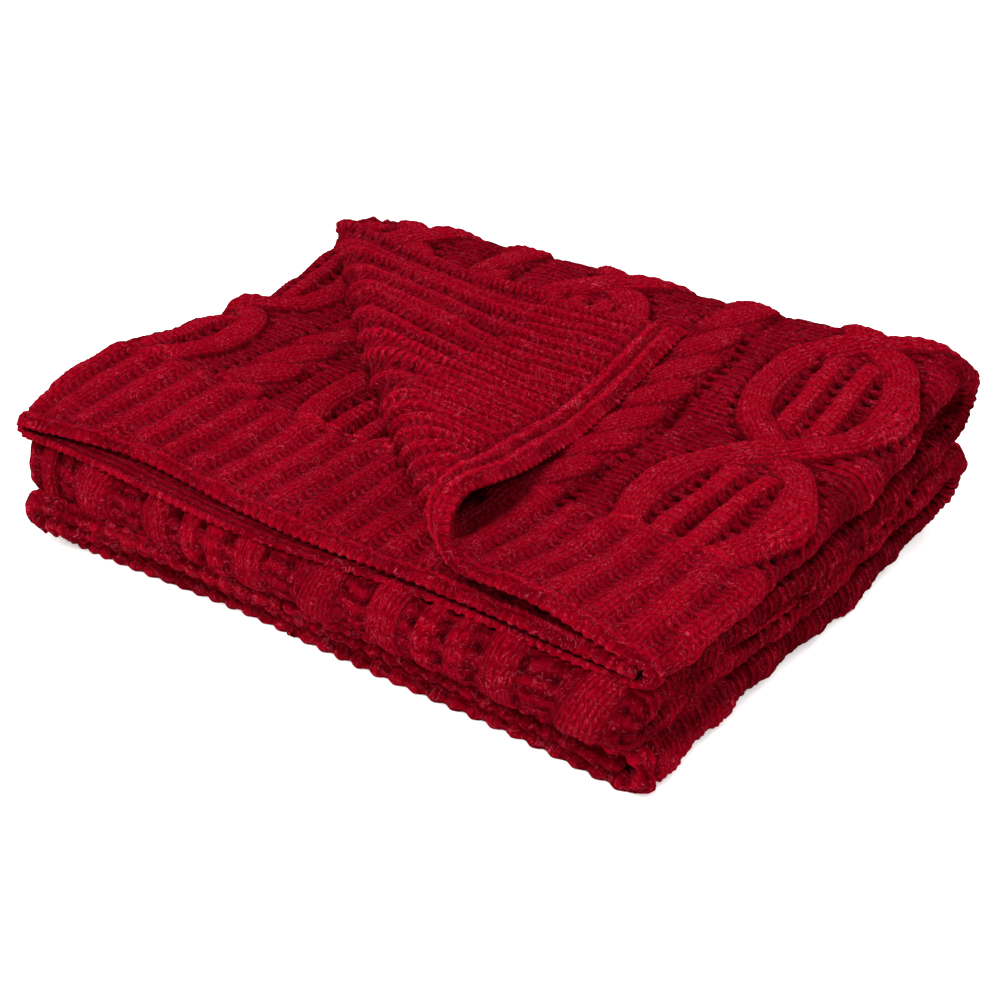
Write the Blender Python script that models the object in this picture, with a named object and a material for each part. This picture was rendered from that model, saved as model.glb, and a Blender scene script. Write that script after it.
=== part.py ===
"""A cable-knit throw, folded in three across its width and in four along its length, with the free
corner of its top layer turned back. It is one knitted sheet, so it is one solid.

Metres, +Z up. The origin is at the middle of the base. The knitted ends lie at -Y, the side folds
of the three layers at +X and -X, and the two large loops of the lengthwise folds at +Y.
"""

import math

import bmesh
import bpy
import numpy as np
from mathutils import Vector
from mathutils.geometry import delaunay_2d_cdt

for old in list(bpy.data.objects):
    bpy.data.objects.remove(old, do_unlink=True)

# The knitted sheet.
SHEET = 0.0036  # thickness between the raised ribs and cables
RIB_HEIGHT = 0.0030
CABLE_HEIGHT = 0.0040
RIB_PITCH = 0.020
BORDER = 0.075  # depth of the ribbed border at each end
REPEAT = 0.162  # width of one repeat: a rope, a wide cable and the channels beside them
ROPE_AT = 0.130  # across the sheet, from its free long edge to the middle of the first whole rope
WIDE_AT = 0.050  # the same to the middle of the first wide cable
CROSSING = 0.117  # length from one crossing of a wide cable to the next
FIRST_CROSSING = 0.170  # along the sheet, from its front end to the first crossing

# Folded in three across: top layer, then the lowest, then the middle one.
TOP_EDGE_X = -0.204
TURN_RIGHT_X = 0.207
TURN_LEFT_X = -0.200
MIDDLE_EDGE_X = 0.2045
TOP_WIDE = TURN_RIGHT_X - TOP_EDGE_X
RIGHT_ARC = 0.027
LOW_WIDE = TURN_RIGHT_X - TURN_LEFT_X
LEFT_ARC = 0.015
MIDDLE_WIDE = MIDDLE_EDGE_X - TURN_LEFT_X
LOW_START = TOP_WIDE + RIGHT_ARC
LOW_END = LOW_START + LOW_WIDE
MIDDLE_START = LOW_END + LEFT_ARC
WIDTH = MIDDLE_START + MIDDLE_WIDE

# Folded in four along. Columns, in millimetres: y, z of the three layers' middle, spacing of layers.
PANEL_1 = ((-152, 62.6, 5.6), (-90, 69.5, 7.2), (0, 80.0, 8.8), (76, 92.6, 9.0))
PANEL_2 = ((70, 62.6, 9.0), (0, 57.5, 8.8), (-90, 50.2, 7.2))
PANEL_3 = ((-90, 31.0, 7.2), (0, 35.2, 8.8), (70, 39.8, 9.0))
PANEL_4 = ((80, 10.8, 9.0), (0, 10.6, 8.8), (-90, 10.3, 8.4), (-152, 11.6, 9.6))
# Columns: centre y, centre z, radius, first and last angle in degrees, layer spacing, steps.
TOP_LOOP = (139.5, 88.0, 17.0, 100.0, -93.0, 6.0, 8)
FRONT_TURN = (-151.0, 39.2, 8.0, 86.0, 272.0, 5.6, 6)
LOW_LOOP = (142.0, 30.6, 18.6, 97.0, -78.0, 6.0, 8)

# The turned-back corner: a loose roll across the top layer. Places are across and along the sheet.
ROLL_FRONT = (0.345, 0.0)
ROLL_BACK = (0.0, 0.300)
ROLL_OUT = (-0.748, -0.664)  # the way to the corner, a little aslant because knitting shears
ROLL_BOW = 0.024  # how far the middle of the line is bowed towards the corner
ROLL_RADIUS = 0.0125
ROLL_MOUTH = 0.45  # how much wider the roll is at its open front end
ROLL_LEAN = 0.24  # radians by which the flap slopes down behind the roll
ROLL_LANDING = 0.06  # radius of the bend where it comes to rest
ROLL_REST = 0.0066  # height of the flap's middle over that of the layer it lies on
ROLL_TAKES = 0.036  # length of sheet that the roll takes up

# How the stack sags and swells: height against that of the even fold.
# Columns: y, height at the left edge.
LEFT_SAG = ((-0.160, 1.20), (-0.090, 1.20), (-0.030, 1.05), (0.005, 0.96), (0.045, 0.87), (0.110, 0.84), (0.160, 0.88))
# Columns: x, height along the back.
BACK_SAG = ((-0.210, 0.88), (-0.140, 0.94), (-0.020, 0.93), (0.070, 0.965), (0.120, 0.99), (0.170, 1.00), (0.215, 0.975))

FINE = 0.010  # spacing of points along the sheet where the knit shows
SHADE = (0.42, 0.004, 0.014, 1.0)


def turn(row):
    """The points of one lengthwise fold, as rows of y, z and layer spacing."""
    centre_y, centre_z, radius, first, last, spacing, steps = row
    angles = np.radians(np.linspace(first, last, steps + 1))
    return [
        (centre_y + radius * math.cos(a), centre_z + radius * math.sin(a), spacing)
        for a in angles
    ]


def through(rows, step):
    """A smooth curve through the rows, sampled about every step: chord-length cubic pieces."""
    points = np.array(rows, float)
    gap = np.linalg.norm(np.diff(points[:, :2], axis=0), axis=1)
    slope = np.diff(points, axis=0) / gap[:, None]
    tangent = np.empty_like(points)
    tangent[0], tangent[-1] = slope[0], slope[-1]
    before, after = gap[:-1, None], gap[1:, None]
    tangent[1:-1] = (after * slope[:-1] + before * slope[1:]) / (before + after)
    out = []
    for k, length in enumerate(gap):
        count = max(2, int(math.ceil(length / step)))
        for f in np.arange(count) / count:
            a, b = 2 * f**3 - 3 * f**2 + 1, f**3 - 2 * f**2 + f
            c, d = -2 * f**3 + 3 * f**2, f**3 - f**2
            out.append(
                a * points[k]
                + b * length * tangent[k]
                + c * points[k + 1]
                + d * length * tangent[k + 1]
            )
    out.append(points[-1])
    return np.array(out)


ROWS = [*PANEL_1, *turn(TOP_LOOP), *PANEL_2, *turn(FRONT_TURN), *PANEL_3, *turn(LOW_LOOP), *PANEL_4]
PATH = through(ROWS, 1.5) / 1000
ALONG = np.concatenate([[0], np.cumsum(np.linalg.norm(np.diff(PATH[:, :2], axis=0), axis=1))])
LENGTH = ALONG[-1]


def station(row):
    """How far along the centre line a row of the tables lies."""
    at = np.linalg.norm(PATH[:, :2] - np.array(row[:2]) / 1000, axis=1)
    return ALONG[np.argmin(at)]


TOP_LOOP_FROM, TOP_LOOP_TO = station(turn(TOP_LOOP)[0]), station(turn(TOP_LOOP)[-1])
FRONT_FROM, FRONT_TO = station(turn(FRONT_TURN)[0]), station(turn(FRONT_TURN)[-1])
LOW_LOOP_FROM, LOW_LOOP_TO = station(turn(LOW_LOOP)[0]), station(turn(LOW_LOOP)[-1])
TANGENT_Y = np.gradient(PATH[:, 0], ALONG)
TANGENT_Z = np.gradient(PATH[:, 1], ALONG)


def centre(s):
    """y, z, spacing and the normal at a distance s along the centre line."""
    y, z, spacing = (np.interp(s, ALONG, PATH[:, k]) for k in range(3))
    ty, tz = np.interp(s, ALONG, TANGENT_Y), np.interp(s, ALONG, TANGENT_Z)
    size = math.hypot(ty, tz)
    if s > LENGTH:
        y, z = y + ty * (s - LENGTH), z + tz * (s - LENGTH)
    if s < 0:
        y, z = y + ty * s, z + tz * s
    return y, z, spacing, -tz / size, ty / size


def across(u, spacing):
    """x and the offset from the centre line at a distance u across the sheet."""
    if u < TOP_WIDE:
        return TOP_EDGE_X + u, spacing
    if u < LOW_START:
        angle = math.pi * (u - TOP_WIDE) / RIGHT_ARC
        return TURN_RIGHT_X + spacing * math.sin(angle), spacing * math.cos(angle)
    if u < LOW_END:
        return TURN_RIGHT_X - (u - LOW_START), -spacing
    if u < MIDDLE_START:
        angle = math.pi * (u - LOW_END) / LEFT_ARC
        half = spacing / 2
        return TURN_LEFT_X - half * math.sin(angle), -half - half * math.cos(angle)
    return TURN_LEFT_X + (u - MIDDLE_START), 0.0


def roll_place(u, s):
    """Share of the way along the roll's line, and distance beyond it towards the turned corner."""
    line_u, line_s = ROLL_BACK[0] - ROLL_FRONT[0], ROLL_BACK[1] - ROLL_FRONT[1]
    du, ds = u - ROLL_FRONT[0], s - ROLL_FRONT[1]
    cross = line_u * ROLL_OUT[1] - line_s * ROLL_OUT[0]
    share = (du * ROLL_OUT[1] - ds * ROLL_OUT[0]) / cross
    beyond = (line_u * ds - line_s * du) / cross
    inside = min(max(share, 0.0), 1.0)
    return share, beyond - ROLL_BOW * 4 * inside * (1 - inside)


def roll_shape(share, beyond):
    """How far out and up the sheet is after it has gone this far beyond the line."""
    radius = ROLL_RADIUS * (1.0 + 0.12 * math.cos(4.0 * share + 0.6) + ROLL_MOUTH * smooth(0.22, 0.0, share))
    lean = math.pi + ROLL_LEAN
    arc = radius * lean
    drop = radius * (1 + math.cos(ROLL_LEAN)) - ROLL_LANDING * (1 - math.cos(ROLL_LEAN))
    run = (drop - ROLL_REST) / math.sin(ROLL_LEAN)
    bend = ROLL_LANDING * ROLL_LEAN
    s = min(beyond, arc)
    out, up = radius * math.sin(s / radius), radius * (1 - math.cos(s / radius))
    s = min(max(beyond - arc, 0), run)
    out, up = out + s * math.cos(lean), up + s * math.sin(lean)
    s = min(max(beyond - arc - run, 0), bend)
    out -= ROLL_LANDING * (math.sin(ROLL_LEAN) - math.sin(ROLL_LEAN - s / ROLL_LANDING))
    up -= ROLL_LANDING * (math.cos(ROLL_LEAN - s / ROLL_LANDING) - math.cos(ROLL_LEAN))
    out -= max(beyond - arc - run - bend, 0)
    return out, up


def smooth(low, high, value):
    f = min(max((value - low) / (high - low), 0.0), 1.0)
    return f * f * (3 - 2 * f)


def eased(rows, value):
    """The second column at this value of the first, joined smoothly from row to row."""
    for (low, start), (high, end) in zip(rows, rows[1:]):
        if value < high:
            return start + (end - start) * smooth(low, high, value)
    return rows[-1][1]


def settle(x, y, z):
    """The folded stack's unevenness: it leans, sags and bows as a whole, and its base stays flat."""
    left, back = smooth(-0.03, -0.21, x), smooth(-0.10, 0.12, y)
    scale = 1 + left * (eased(LEFT_SAG, y) - 1) + (1 - left) * back * (eased(BACK_SAG, x) - 1)
    scale += 0.010 * math.sin(21 * x + 9 * y + 0.5) + 0.008 * math.sin(33 * y - 14 * x)
    low = smooth(0.085, 0.0, z)
    if x < 0:
        x *= 1 - 0.025 * low
        x += 0.013 * smooth(-0.100, -0.165, y) * smooth(-0.13, -0.21, x)
    else:
        x *= 1 - 0.06 * low * smooth(-0.06, 0.10, y) + 0.03 * smooth(0.02, 0.13, y) * smooth(0.0, 0.03, z)
        x -= 0.005 * low * smooth(0.02, -0.12, y)
    x += 0.0025 * math.sin(19 * y + 22 * z)
    y += 0.0020 * math.sin(17 * x + 30 * z + 1.0) + 0.003 * (1 - (x / 0.21) ** 2) * smooth(0.055, 0.075, z) * smooth(0.0, -0.13, y)
    return x, y, z * scale


def surface(u, s):
    """The sheet's middle surface, from distances across the sheet and along the centre line."""
    # The lowest layer's end stands ahead of the other two at the left.
    ahead = 0.013 * smooth(LOW_START + 0.05, LOW_END - 0.05, u) * smooth(WIDTH - 0.30, MIDDLE_START, u)
    ahead += 0.0015 * math.sin(31 * u)
    start, end = smooth(0.10, 0.0, s), smooth(LENGTH - 0.10, LENGTH, s)
    raised = 0.0
    place_u, place_s = u, s
    if u < TOP_WIDE and s < TOP_LOOP_TO - 0.03:
        share, beyond = roll_place(u, s)
        raised = 0.010 * ridge(u - 0.340, 0.075) * smooth(0.05, 0.0, s)
        if beyond > 0:
            out, up = roll_shape(share, beyond)
            place_u, place_s = u + ROLL_OUT[0] * (out - beyond), s + ROLL_OUT[1] * (out - beyond)
            raised = raised * smooth(0.03, 0.0, beyond) + up
    place_s += ahead * (end - start)
    y, z, spacing, ny, nz = centre(place_s)
    x, offset = across(min(place_u, TOP_WIDE) if u < TOP_WIDE else place_u, spacing)
    x += 0.0025 * math.sin(14 * place_s + 0.4) + 0.0015 * math.sin(41 * place_s)
    y, z = y + (offset + raised) * ny, z + (offset + raised) * nz
    return np.array(settle(x, y, z))


def ridge(distance, half_width):
    return math.cos(min(abs(distance) / half_width, 1.0) * math.pi / 2) ** 2


def near(value, start, pitch):
    """Signed distance from the nearest of the lines at start, start + pitch and so on."""
    return (value - start + pitch / 2) % pitch - pitch / 2


def knit(u, s):
    """Height of the knit at this place: ribs at both ends, ropes and wide cables between."""
    from_end = min(s, LENGTH - s)
    rib = RIB_HEIGHT * (0.5 + 0.5 * math.cos(2 * math.pi * u / RIB_PITCH))
    rope_phase = math.cos(2 * math.pi * s / 0.06)
    rope = ridge(near(u, ROPE_AT, REPEAT) - 0.004 * rope_phase, 0.018) * (0.85 + 0.15 * rope_phase)
    off = near(u, WIDE_AT, REPEAT)
    spread = abs(math.sin(math.pi * (s - FIRST_CROSSING) / CROSSING)) ** 0.7
    strand = ridge(abs(off) - (0.010 + 0.026 * spread), 0.014)
    inner = 0.55 * spread * ridge(abs(off) - 0.010, 0.008)
    cable = CABLE_HEIGHT * max(rope, strand, inner)
    mix = smooth(BORDER - 0.010, BORDER + 0.006, from_end)
    return rib * (1 - mix) + cable * mix


def shows(u, s):
    """How far the front and the back face are in the open here, each from 0 to 1."""
    front, back = 0.0, 0.0
    if u < TOP_WIDE:
        if s < TOP_LOOP_FROM:
            beyond = roll_place(u, s)[1]
            # The place on the flap that would lie over this one.
            over_u, over_s = (here + ROLL_OUT[k] * (ROLL_TAKES - 2 * beyond) for k, here in enumerate((u, s)))
            front = 1 - smooth(-0.012, 0.006, over_u) * smooth(-0.012, 0.006, over_s) if beyond < 0 else 0.0
            back = smooth(0.02, 0.04, beyond)
        elif s < TOP_LOOP_TO:
            front = smooth(TOP_LOOP_TO, TOP_LOOP_TO - 0.02, s)
        elif s > LOW_LOOP_FROM:
            front = smooth(LOW_LOOP_FROM, LOW_LOOP_FROM + 0.02, s) * smooth(LOW_LOOP_TO - 0.012, LOW_LOOP_TO - 0.03, s)
        front *= smooth(TOP_WIDE, TOP_WIDE - 0.012, u)
    elif LOW_START < u < LOW_END:
        front = 0.65 * smooth(FRONT_FROM + 0.001, FRONT_FROM + 0.009, s) * smooth(FRONT_TO - 0.001, FRONT_TO - 0.009, s)
        front *= smooth(LOW_START, LOW_START + 0.012, u) * smooth(LOW_END, LOW_END - 0.012, u)
    elif u > MIDDLE_START and s < TOP_LOOP_FROM:
        same_x = TURN_LEFT_X + u - MIDDLE_START - TOP_EDGE_X
        front = smooth(0.012, 0.032, roll_place(same_x, s)[1])
    return front, back


def spaced(first, last, step):
    count = max(1, int(round((last - first) / step)))
    return [first + (last - first) * k / count for k in range(count + 1)]


def on_ribs(first, last):
    """Columns on the crest and in the trough of each rib, and at both ends."""
    half = RIB_PITCH / 2
    inside = [k * half for k in range(int(WIDTH / half) + 1) if first + 0.004 < k * half < last - 0.004]
    return [first, *inside, last]


def flat_points():
    """Points on the flat sheet, close where it shows and where it bends, and wide apart elsewhere."""
    top_columns = on_ribs(0.0, TOP_WIDE)
    low_columns = on_ribs(LOW_START, LOW_END)
    middle_columns = on_ribs(MIDDLE_START, WIDTH)
    right_columns = spaced(TOP_WIDE, LOW_START, RIGHT_ARC / 5)
    left_columns = spaced(LOW_END, MIDDLE_START, LEFT_ARC / 4)
    arcs = right_columns + left_columns
    panel_1 = spaced(0.0, TOP_LOOP_FROM, FINE)
    top_loop = spaced(TOP_LOOP_FROM, TOP_LOOP_TO, 0.0078)
    panel_2 = spaced(TOP_LOOP_TO, FRONT_FROM, 0.036)
    front = spaced(FRONT_FROM, FRONT_TO, 0.0044)
    panel_3 = spaced(FRONT_TO, LOW_LOOP_FROM, 0.036)
    low_loop = spaced(LOW_LOOP_FROM, LOW_LOOP_TO, 0.0090)
    panel_4 = spaced(LOW_LOOP_TO, LENGTH, 0.036)
    sparse = top_columns[::7] + low_columns[::7] + middle_columns[::7] + [top_columns[-1], low_columns[-1], middle_columns[-1]]
    points = set()

    def add(columns, rows):
        points.update((round(u, 6), round(s, 6)) for u in columns for s in rows)

    for k, s in enumerate(panel_1):
        for u in top_columns:
            if k % 2 == 0 or -0.012 < roll_place(u, s)[1] < 0.060 or k == len(panel_1) - 1:
                add([u], [s])
        if k % 2 == 0 or k == len(panel_1) - 1:
            for u in middle_columns:
                if roll_place(TURN_LEFT_X + u - MIDDLE_START - TOP_EDGE_X, s)[1] > 0.005:
                    add([u], [s])
            add(arcs, [s])
            add([middle_columns[0], middle_columns[-1]], [s])
        if k % 6 == 0 or k == len(panel_1) - 1:
            add(sparse, [s])
    for rows, shown in ((top_loop, top_columns[::2]), (front, low_columns[::2]), (low_loop, top_columns[::3])):
        add(arcs + sparse + shown + [shown[0]], rows)
    for rows in (panel_2, panel_3, panel_4):
        add(arcs + sparse, rows)
    return sorted(points)


def build_sheet():
    points = flat_points()
    # A very slight shear makes the joining lines of square cells run along the roll.
    sheared = [Vector((u, s + 0.004 * u)) for u, s in points]
    placed, _, faces, *_ = delaunay_2d_cdt(sheared, [], [], 0, 1e-7)
    flat = [(p.x, p.y - 0.004 * p.x) for p in placed]
    mesh = bpy.data.meshes.new("throw")
    work = bmesh.new()
    sides = []
    step = 0.0004
    count = len(flat)
    fronts, backs = [], []
    for u, s in flat:
        here = surface(u, s)
        du = surface(min(u + step, WIDTH), s) - surface(max(u - step, 0), s)
        ds = surface(u, min(s + step, LENGTH)) - surface(u, max(s - step, 0))
        normal = np.cross(du, ds)
        normal /= np.linalg.norm(normal)
        front, back = shows(u, s)
        raised = knit(u, s) if front or back else 0.0
        fronts.append(here + normal * (SHEET / 2 + front * raised))
        backs.append(here - normal * (SHEET / 2 + back * 0.7 * raised))
    every = np.array(fronts + backs)
    lowest, highest = every.min(axis=0), every.max(axis=0)
    middle = (lowest + highest) / 2
    for p in every:
        height = p[2] - lowest[2]
        sides.append(work.verts.new((p[0] - middle[0], p[1] - middle[1], 0.0 if height < 0.0009 else height)))
    work.verts.index_update()
    for face in faces:
        a, b, c = (flat[k] for k in face)
        turned = (b[0] - a[0]) * (c[1] - a[1]) - (b[1] - a[1]) * (c[0] - a[0])
        if abs(turned) < 1e-6:
            continue
        ring = list(face) if turned > 0 else list(face)[::-1]
        work.faces.new([sides[k] for k in ring])
        work.faces.new([sides[count + k] for k in reversed(ring)])
    open_edges = [e for e in work.edges if len(e.link_faces) == 1 and e.verts[0].index < count]
    for edge in open_edges:
        loop = edge.link_loops[0]
        a, b = loop.vert.index, loop.link_loop_next.vert.index
        work.faces.new([sides[b], sides[a], sides[count + a], sides[count + b]])
    bmesh.ops.triangulate(work, faces=[f for f in work.faces if len(f.verts) > 3])
    work.to_mesh(mesh)
    work.free()
    mesh.shade_smooth()
    mesh.set_sharp_from_angle(angle=math.radians(50))
    throw = bpy.data.objects.new("throw", mesh)
    bpy.context.scene.collection.objects.link(throw)
    return throw


def knit_material():
    material = bpy.data.materials.new("crimson chenille")
    material.use_nodes = True
    shader = material.node_tree.nodes["Principled BSDF"]
    shader.inputs["Base Color"].default_value = SHADE
    shader.inputs["Roughness"].default_value = 0.9
    shader.inputs["Metallic"].default_value = 0.0
    material.diffuse_color = SHADE
    return material


throw = build_sheet()
throw.data.materials.append(knit_material())
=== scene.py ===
import math

import bmesh
import bpy
import numpy as np
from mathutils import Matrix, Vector


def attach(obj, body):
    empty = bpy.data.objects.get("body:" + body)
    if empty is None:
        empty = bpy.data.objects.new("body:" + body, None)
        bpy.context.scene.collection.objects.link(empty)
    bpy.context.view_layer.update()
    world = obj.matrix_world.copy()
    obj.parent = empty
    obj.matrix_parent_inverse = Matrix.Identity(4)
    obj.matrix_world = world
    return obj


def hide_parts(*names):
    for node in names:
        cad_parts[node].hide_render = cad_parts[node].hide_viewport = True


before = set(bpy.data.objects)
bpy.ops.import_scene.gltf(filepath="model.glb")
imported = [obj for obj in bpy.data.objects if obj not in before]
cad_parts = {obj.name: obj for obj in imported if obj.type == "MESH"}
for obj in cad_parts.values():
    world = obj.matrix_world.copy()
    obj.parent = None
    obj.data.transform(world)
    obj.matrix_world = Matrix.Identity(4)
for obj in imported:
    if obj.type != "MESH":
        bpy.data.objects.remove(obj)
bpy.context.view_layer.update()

# The throw's turned corner. The top layer's free corner, rolled back loosely over the stack so that
# its reverse shows. It is the same knitted sheet as all the layers below, so the sheet's sizes, its
# fold, its knit and its yarn are set here, and the other sections only take other stretches of it.

# The knitted sheet, in metres.
SHEET = 0.0036
RIB_PITCH = 0.020
RIB_HEIGHT = 0.0033
BACK_RIB_PITCH = 0.0115
BACK_RIB_HEIGHT = 0.0040
STITCH = 0.005
ROW = 0.0042
YARN_HEIGHT = 0.0013
BORDER = 0.075
REPEAT = 0.162
PIT_DEPTH = 0.0060
BACK_PIT_DEPTH = 0.0042

# The narrow rope, a row of slanting lobes.
ROPE_AT = 0.130
CABLE_HEIGHT = 0.0044
ROPE_LOBE = 0.031
LOBE_SIN = 0.577
LOBE_COS = 0.817
LOBE_LONG = 0.0255
LOBE_WIDE = 0.0099

# The wide cable, two outer strands that swing apart and cross. Its crossings drift along the sheet.
WIDE_AT = 0.050
CROSSING = 0.117
FIRST_CROSSING = 0.170
CROSSING_DRIFT = 0.045
DRIFT_FROM = 0.36
DRIFT_TO = 0.60
STRAND_HEIGHT = 0.0046
STRAND_HALF = 0.0102
STRAND_REACH = 0.0345
STRAND_QUICK = 0.30
STRAND_OVER = 0.0018
CROSSING_HALF = 0.012

# The cords of stitches along the knitted ends: small at the cast-on end, fat at the cast-off end.
END_CORD = 0.0083
END_CORD_HALF = 0.0037
SMALL_STITCH = 0.0060
FAT_STITCH = 0.0120

# Folded in three across: top layer, then the lowest, then the middle one.
TOP_EDGE_X = -0.204
TURN_RIGHT_X = 0.207
TURN_LEFT_X = -0.200
MIDDLE_EDGE_X = 0.2045
TOP_WIDE = TURN_RIGHT_X - TOP_EDGE_X
RIGHT_ARC = 0.027
LEFT_ARC = 0.015
LOW_START = TOP_WIDE + RIGHT_ARC
LOW_END = LOW_START + TURN_RIGHT_X - TURN_LEFT_X
MIDDLE_START = LOW_END + LEFT_ARC
WIDTH = MIDDLE_START + MIDDLE_EDGE_X - TURN_LEFT_X

# Folded in four along. Columns, in millimetres: y, z of the three layers' middle, spacing of layers.
PANEL_1 = ((-152, 62.6, 5.6), (-90, 69.5, 7.2), (0, 80.0, 8.8), (76, 92.6, 9.0))
PANEL_2 = ((70, 62.6, 9.0), (0, 57.5, 8.8), (-90, 50.2, 7.2))
PANEL_3 = ((-90, 31.0, 7.2), (0, 35.2, 8.8), (70, 39.8, 9.0))
PANEL_4 = ((80, 10.8, 9.0), (0, 10.6, 8.8), (-90, 10.3, 8.4), (-152, 11.6, 9.6))
# Columns: centre y, centre z, radius, first and last angle in degrees, layer spacing, steps.
TOP_LOOP = (139.5, 88.0, 17.0, 100.0, -93.0, 6.0, 8)
FRONT_TURN = (-151.0, 39.2, 8.0, 86.0, 272.0, 5.6, 6)
LOW_LOOP = (142.0, 30.6, 18.6, 97.0, -78.0, 6.0, 8)

# The roll of the turned corner. Places are across and along the sheet.
ROLL_FRONT = (0.345, 0.0)
ROLL_BACK = (0.0, 0.300)
ROLL_OUT = (-0.748, -0.664)
ROLL_BOW = 0.024
ROLL_RADIUS = 0.0125
ROLL_MOUTH = 0.45
ROLL_LEAN = 0.24
ROLL_LANDING = 0.06
ROLL_REST = 0.0066
ROLL_TAKES = 0.036

# How the stack sags and swells. Columns: y or x, height against that of the even fold.
LEFT_SAG = (
    (-0.160, 1.20), (-0.090, 1.20), (-0.030, 1.05), (0.005, 0.96),
    (0.045, 0.87), (0.110, 0.84), (0.160, 0.88),
)
BACK_SAG = (
    (-0.210, 0.88), (-0.140, 0.93), (-0.020, 0.92), (0.070, 0.935),
    (0.120, 0.945), (0.170, 0.95), (0.215, 0.93),
)
STACK_MIDDLE = (0.005575, 0.000306)
STACK_REST = 0.000541


def turn(row):
    """The points of one lengthwise fold, as rows of y, z and layer spacing."""
    centre_y, centre_z, radius, first, last, spacing, steps = row
    angles = np.radians(np.linspace(first, last, steps + 1))
    return [(centre_y + radius * math.cos(a), centre_z + radius * math.sin(a), spacing) for a in angles]


def through(rows, step):
    """A smooth curve through the rows, sampled about every step."""
    points = np.array(rows, float)
    gap = np.linalg.norm(np.diff(points[:, :2], axis=0), axis=1)
    slope = np.diff(points, axis=0) / gap[:, None]
    tangent = np.empty_like(points)
    tangent[0], tangent[-1] = slope[0], slope[-1]
    before, after = gap[:-1, None], gap[1:, None]
    tangent[1:-1] = (after * slope[:-1] + before * slope[1:]) / (before + after)
    out = []
    for k, length in enumerate(gap):
        count = max(2, int(math.ceil(length / step)))
        for f in np.arange(count) / count:
            a, b = 2 * f**3 - 3 * f**2 + 1, f**3 - 2 * f**2 + f
            c, d = -2 * f**3 + 3 * f**2, f**3 - f**2
            from_here = a * points[k] + b * length * tangent[k]
            out.append(from_here + c * points[k + 1] + d * length * tangent[k + 1])
    out.append(points[-1])
    return np.array(out)


FOLD_ROWS = [*PANEL_1, *turn(TOP_LOOP), *PANEL_2, *turn(FRONT_TURN), *PANEL_3, *turn(LOW_LOOP), *PANEL_4]
PATH_STEP = 1.5  # millimetres, as the rows are
PATH = through(FOLD_ROWS, PATH_STEP) / 1000
ALONG = np.concatenate([[0], np.cumsum(np.linalg.norm(np.diff(PATH[:, :2], axis=0), axis=1))])
LENGTH = ALONG[-1]
TANGENT_Y = np.gradient(PATH[:, 0], ALONG)
TANGENT_Z = np.gradient(PATH[:, 1], ALONG)


def station(row):
    """How far along the sheet a row of the fold's tables lies."""
    return ALONG[np.argmin(np.linalg.norm(PATH[:, :2] - np.array(row[:2]) / 1000, axis=1))]


TOP_LOOP_FROM, TOP_LOOP_TO = station(turn(TOP_LOOP)[0]), station(turn(TOP_LOOP)[-1])
FRONT_FROM, FRONT_TO = station(turn(FRONT_TURN)[0]), station(turn(FRONT_TURN)[-1])
LOW_LOOP_TO = station(turn(LOW_LOOP)[-1])


def smooth(low, high, value):
    """From 0 at low to 1 at high, level at both."""
    f = np.clip((value - low) / (high - low), 0.0, 1.0)
    return f * f * (3 - 2 * f)


def eased(rows, value):
    """The second column at this value of the first, joined smoothly from row to row."""
    out = np.full(np.shape(value), rows[0][1], float)
    for (low, start), (high, end) in zip(rows, rows[1:]):
        out = np.where(value >= low, start + (end - start) * smooth(low, high, value), out)
    return out


def across(u, spacing):
    """x and the offset from the fold's middle line at a distance u across the sheet."""
    right = math.pi * (u - TOP_WIDE) / RIGHT_ARC
    left = math.pi * (u - LOW_END) / LEFT_ARC
    where = [u < TOP_WIDE, u < LOW_START, u < LOW_END, u < MIDDLE_START]
    x = np.select(where, [
        TOP_EDGE_X + u,
        TURN_RIGHT_X + spacing * np.sin(right),
        TURN_RIGHT_X - (u - LOW_START),
        TURN_LEFT_X - spacing / 2 * np.sin(left),
    ], TURN_LEFT_X + (u - MIDDLE_START))
    offset = np.select(where, [
        spacing,
        spacing * np.cos(right),
        -spacing,
        -spacing / 2 * (1 + np.cos(left)),
    ], 0.0)
    return x, offset


def roll_place(u, s):
    """Share of the way along the roll's line, and distance beyond it towards the turned corner."""
    line_u, line_s = ROLL_BACK[0] - ROLL_FRONT[0], ROLL_BACK[1] - ROLL_FRONT[1]
    du, ds = u - ROLL_FRONT[0], s - ROLL_FRONT[1]
    cross = line_u * ROLL_OUT[1] - line_s * ROLL_OUT[0]
    share = (du * ROLL_OUT[1] - ds * ROLL_OUT[0]) / cross
    beyond = (line_u * ds - line_s * du) / cross
    inside = np.clip(share, 0.0, 1.0)
    return share, beyond - ROLL_BOW * 4 * inside * (1 - inside)


def roll_shape(share, beyond):
    """How far out and up the sheet is after it has gone this far beyond the line."""
    radius = ROLL_RADIUS * (1.0 + 0.12 * np.cos(4.0 * share + 0.6) + ROLL_MOUTH * smooth(0.22, 0.0, share))
    lean = math.pi + ROLL_LEAN
    arc = radius * lean
    drop = radius * (1 + math.cos(ROLL_LEAN)) - ROLL_LANDING * (1 - math.cos(ROLL_LEAN))
    run = (drop - ROLL_REST) / math.sin(ROLL_LEAN)
    bend = ROLL_LANDING * ROLL_LEAN
    s = np.minimum(beyond, arc)
    out, up = radius * np.sin(s / radius), radius * (1 - np.cos(s / radius))
    s = np.clip(beyond - arc, 0, run)
    out, up = out + s * math.cos(lean), up + s * math.sin(lean)
    s = np.clip(beyond - arc - run, 0, bend)
    out -= ROLL_LANDING * (math.sin(ROLL_LEAN) - np.sin(ROLL_LEAN - s / ROLL_LANDING))
    up -= ROLL_LANDING * (np.cos(ROLL_LEAN - s / ROLL_LANDING) - math.cos(ROLL_LEAN))
    out -= np.maximum(beyond - arc - run - bend, 0)
    return out, up


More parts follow.
